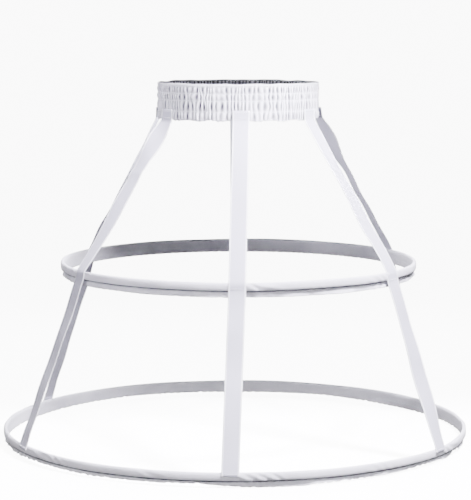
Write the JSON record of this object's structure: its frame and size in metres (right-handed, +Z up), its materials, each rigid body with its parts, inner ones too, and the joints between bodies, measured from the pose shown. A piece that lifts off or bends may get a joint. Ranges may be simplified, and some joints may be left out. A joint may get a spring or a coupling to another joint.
{
  "type": "crinoline cage",
  "caption": "Crinoline cage: gathered elastic waistband, boned upper and lower hoops, and flat tapes that hang the hoops from the waist.",
  "frame": {"origin": "centre of the box on the surface that the lower hoop stands on", "axes": "+Z up towards the waist, -Y towards the wearer's front, +X to the right as seen from the front"},
  "size_m": [0.7174, 0.7228, 0.551],
  "materials": {
    "waistband_cloth": "white woven cloth, gathered",
    "elastic": "white woven elastic",
    "casing_cloth": "white woven cloth, matt",
    "bone": "white springy plastic strip",
    "sleeve": "thin steel sleeve",
    "tape": "white twill tape",
    "thread": "white sewing thread"
  },
  "bodies": {
    "root": {"waistband_casing": "waistband_cloth", "waist_elastic": "elastic", "upper_hoop_casing": "casing_cloth", "lower_hoop_casing": "casing_cloth", "upper_hoop_bone": "bone", "lower_hoop_bone": "bone", "upper_hoop_connector": "sleeve", "lower_hoop_connector": "sleeve", "tape_front_center": "tape", "tape_front_left": "tape", "tape_front_right": "tape", "tape_back_left": "tape", "tape_back_right": "tape", "tape_back_center": "tape", "waist_tacks": "thread", "upper_hoop_tacks": "thread", "lower_hoop_tacks": "thread"}
  },
  "joints": []
}
